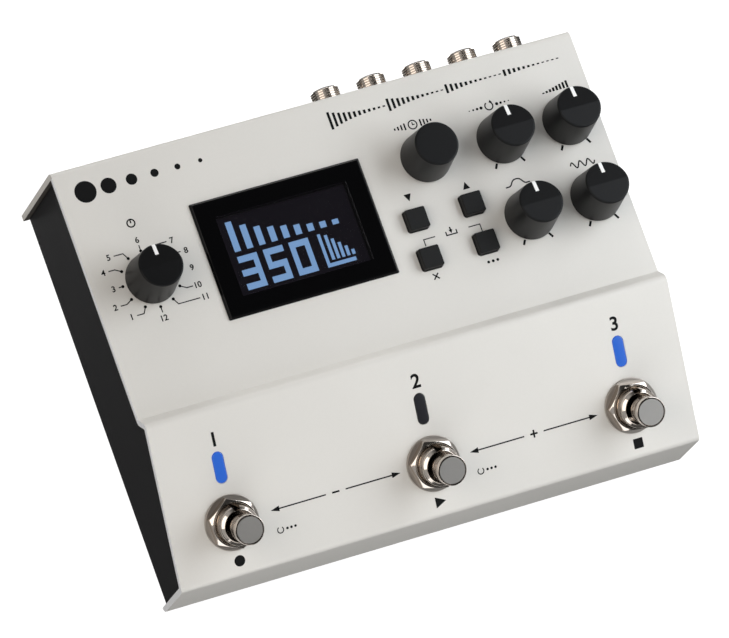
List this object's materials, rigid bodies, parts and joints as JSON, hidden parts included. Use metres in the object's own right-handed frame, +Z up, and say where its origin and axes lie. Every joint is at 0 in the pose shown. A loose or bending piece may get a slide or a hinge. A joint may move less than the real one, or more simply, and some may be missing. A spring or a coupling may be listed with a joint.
{
  "type": "delay pedal",
  "caption": "Floor delay pedal: folded sheet casing with a knob deck, display window, sloped footswitch deck, push keys, and audio jacks on the rear wall.",
  "frame": {"origin": "on the floor under the middle of the pedal's outer box", "axes": "+X to the player's right, +Y towards the rear sockets, +Z up"},
  "size_m": [0.17, 0.138, 0.062],
  "materials": {
    "cover_paint": "satin pearl white powder coat",
    "tray_paint": "fine black powder coat",
    "knob_plastic": "satin moulded black",
    "key_rubber": "soft black",
    "door_plastic": "textured black",
    "foot_rubber": "matt black",
    "black_steel": "black oxide",
    "shaft_metal": "turned",
    "control_plastic": "moulded",
    "zinc": "zinc plate",
    "brass": "stamped",
    "window_gloss": "polished black pane",
    "lcd_metal": "tin plate",
    "lcd_glass": "dark blue glass",
    "lens_blue": "lit blue lens",
    "lens_dark": "unlit smoked lens",
    "emitter": "milky",
    "board_green": "solder mask",
    "nickel": "bright nickel plate",
    "jack_plastic": "moulded black",
    "port_steel": "tin plate",
    "ribbon": "grey flat cable",
    "cell_wrap": "plain wrapped cell"
  },
  "bodies": {
    "casing": {"top_cover": "cover_paint", "bottom_chassis": "tray_paint", "rubber_feet": "foot_rubber", "case_screws": "black_steel", "mode_switch_body": "control_plastic", "time_encoder_body": "control_plastic", "potentiometers": "control_plastic", "control_washers": "zinc", "control_nuts": "zinc", "key_switches": "control_plastic", "display_window": "window_gloss", "lcd_frame": "lcd_metal", "lcd_glass": "lcd_glass", "left_lens": "lens_blue", "middle_lens": "lens_dark", "right_lens": "lens_blue", "light_emitters": "emitter", "light_board": "board_green", "light_board_posts": "zinc", "switch_bodies": "nickel", "switch_washers": "nickel", "switch_nuts": "nickel", "jack_washers": "zinc", "jack_nuts": "nickel", "din_sockets": "jack_plastic", "usb_port": "port_steel", "dc_jack": "jack_plastic", "panel_board": "board_green", "main_board": "board_green", "jack_board": "board_green", "board_standoffs": "zinc", "ribbon_cable": "ribbon", "battery_bay": "door_plastic", "battery_cells": "cell_wrap", "jack_1": "jack_plastic", "jack_2": "jack_plastic", "jack_3": "jack_plastic", "jack_4": "jack_plastic", "jack_5": "jack_plastic"},
    "mode_knob": {"mode_knob": "knob_plastic", "mode_shaft": "shaft_metal"},
    "time_knob": {"time_knob": "knob_plastic", "time_shaft": "shaft_metal"},
    "feedback_knob": {"feedback_knob": "knob_plastic", "feedback_shaft": "shaft_metal"},
    "level_knob": {"level_knob": "knob_plastic", "level_shaft": "shaft_metal"},
    "tone_knob": {"tone_knob": "knob_plastic", "tone_shaft": "shaft_metal"},
    "depth_knob": {"depth_knob": "knob_plastic", "depth_shaft": "shaft_metal"},
    "time_rotor": {"time_rotor": "brass"},
    "down_key": {"down_key": "key_rubber"},
    "up_key": {"up_key": "key_rubber"},
    "exit_key": {"exit_key": "key_rubber"},
    "edit_key": {"edit_key": "key_rubber"},
    "left_plunger": {"left_plunger": "nickel"},
    "middle_plunger": {"middle_plunger": "nickel"},
    "right_plunger": {"right_plunger": "nickel"},
    "battery_door": {"battery_door": "door_plastic"}
  },
  "joints": [
    {"name": "mode_turn", "type": "hinge", "parent": "casing", "child": "mode_knob", "pos_m": [-0.0666, 0.0212, 0.0475], "axis": [0, 0, 1], "continuous": true},
    {"name": "time_turn", "type": "hinge", "parent": "casing", "child": "time_rotor", "pos_m": [0.02739, 0.0341, 0.0475], "axis": [0, 0, 1], "continuous": true},
    {"name": "feedback_turn", "type": "hinge", "parent": "casing", "child": "feedback_knob", "pos_m": [0.0524, 0.0334, 0.0475], "axis": [0, 0, 1], "range_deg": [-150, 150]},
    {"name": "level_turn", "type": "hinge", "parent": "casing", "child": "level_knob", "pos_m": [0.0743, 0.0334, 0.0475], "axis": [0, 0, 1], "range_deg": [-150, 150]},
    {"name": "tone_turn", "type": "hinge", "parent": "casing", "child": "tone_knob", "pos_m": [0.0524, 0.0085, 0.0475], "axis": [0, 0, 1], "range_deg": [-150, 150]},
    {"name": "depth_turn", "type": "hinge", "parent": "casing", "child": "depth_knob", "pos_m": [0.0743, 0.0085, 0.0475], "axis": [0, 0, 1], "range_deg": [-150, 150]},
    {"name": "time_push", "type": "slide", "parent": "time_rotor", "child": "time_knob", "axis": [0, 0, -1], "range_m": [0, 0.0004], "stiffness_N_per_m": 3000, "springref_m": -0.0004},
    {"name": "down_press", "type": "slide", "parent": "casing", "child": "down_key", "axis": [0, 0, -1], "range_m": [0, 0.0005], "stiffness_N_per_m": 2000, "springref_m": -0.0004},
    {"name": "up_press", "type": "slide", "parent": "casing", "child": "up_key", "axis": [0, 0, -1], "range_m": [0, 0.0005], "stiffness_N_per_m": 2000, "springref_m": -0.0004},
    {"name": "exit_press", "type": "slide", "parent": "casing", "child": "exit_key", "axis": [0, 0, -1], "range_m": [0, 0.0005], "stiffness_N_per_m": 2000, "springref_m": -0.0004},
    {"name": "edit_press", "type": "slide", "parent": "casing", "child": "edit_key", "axis": [0, 0, -1], "range_m": [0, 0.0005], "stiffness_N_per_m": 2000, "springref_m": -0.0004},
    {"name": "left_press", "type": "slide", "parent": "casing", "child": "left_plunger", "axis": [0, 0.416, -0.9094], "range_m": [0, 0.003], "stiffness_N_per_m": 1500, "springref_m": -0.002},
    {"name": "middle_press", "type": "slide", "parent": "casing", "child": "middle_plunger", "axis": [0, 0.416, -0.9094], "range_m": [0, 0.003], "stiffness_N_per_m": 1500, "springref_m": -0.002},
    {"name": "right_press", "type": "slide", "parent": "casing", "child": "right_plunger", "axis": [0, 0.416, -0.9094], "range_m": [0, 0.003], "stiffness_N_per_m": 1500, "springref_m": -0.002},
    {"name": "battery_door_swing", "type": "hinge", "parent": "casing", "child": "battery_door", "pos_m": [-0.043, -0.0296, 0.0055], "axis": [-1, 0, 0], "range_deg": [0, 75]}
  ]
}
